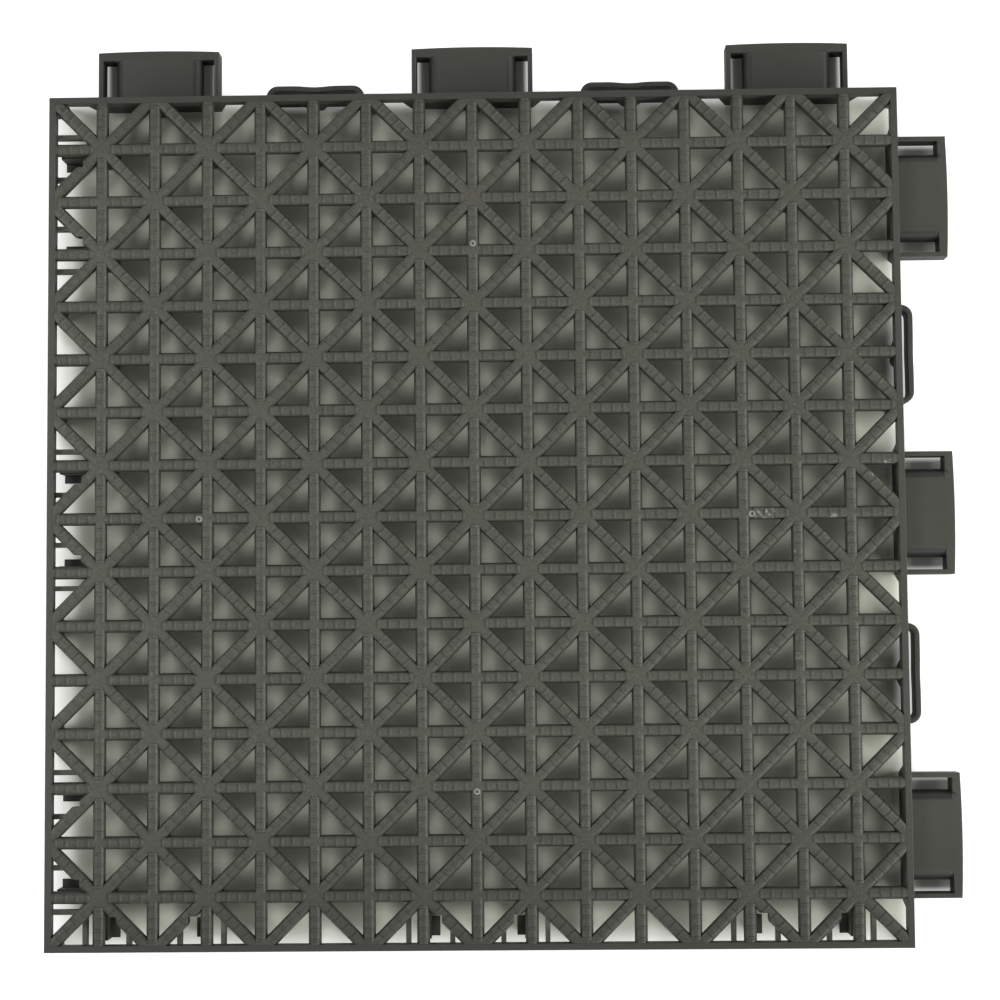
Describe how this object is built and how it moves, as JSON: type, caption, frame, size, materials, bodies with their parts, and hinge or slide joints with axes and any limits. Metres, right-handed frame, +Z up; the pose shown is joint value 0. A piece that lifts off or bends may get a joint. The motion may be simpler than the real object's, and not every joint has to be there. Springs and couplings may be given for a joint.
{
  "type": "sport court tile",
  "caption": "Square interlocking plastic court tile: a grid of crowned ribs with a diagonal in each cell, posts below, loops on two edges and hooks on the others.",
  "frame": {"origin": "centre of the square grid at the floor, on the foot of the middle post", "axes": "+Z up, +X towards the right edge and +Y towards the top edge, the two edges with loops"},
  "size_m": [0.3238, 0.3238, 0.0159],
  "materials": {
    "tile_plastic": "matte"
  },
  "bodies": {
    "root": {"court_tile": "tile_plastic"}
  },
  "joints": []
}
